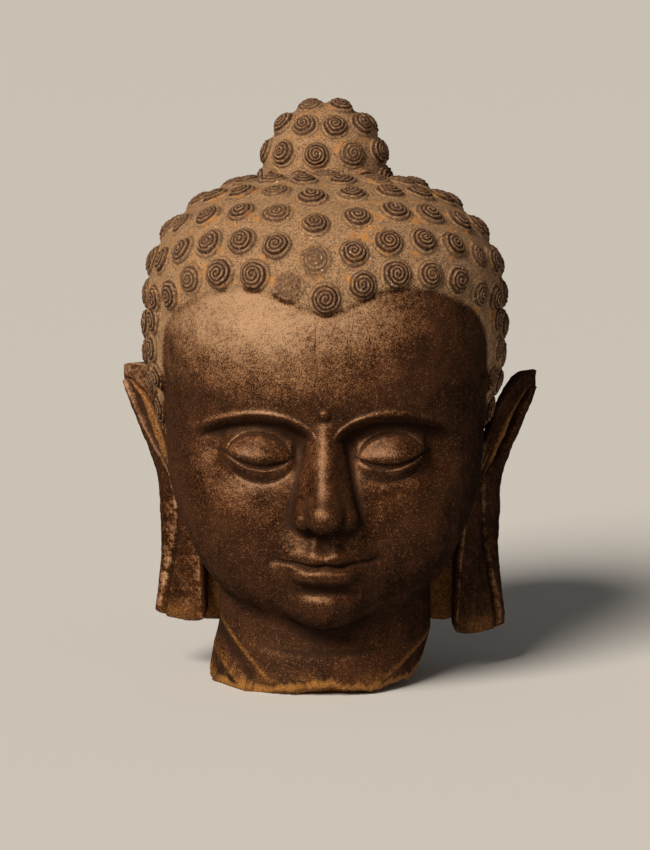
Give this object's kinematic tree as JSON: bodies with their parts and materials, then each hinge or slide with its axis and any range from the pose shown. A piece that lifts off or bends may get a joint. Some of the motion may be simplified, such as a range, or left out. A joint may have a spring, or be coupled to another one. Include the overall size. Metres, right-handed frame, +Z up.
{
  "type": "carved stone buddha head",
  "caption": "Carved dark stone head with snail-shell curls, a topknot, lowered eyes and long ears, broken at the neck and standing on the break.",
  "frame": {"origin": "centre of the flat resting area on the broken underside of the neck", "axes": "+Z up through the topknot, the face looks along -Y, +X to the right of a viewer who stands in front"},
  "size_m": [0.252, 0.2467, 0.3492],
  "materials": {
    "stone": "dark brown stone, satin from handling, with tan speckle and ochre earth in the hollows"
  },
  "bodies": {
    "root": {"buddha_head": "stone"}
  },
  "joints": []
}
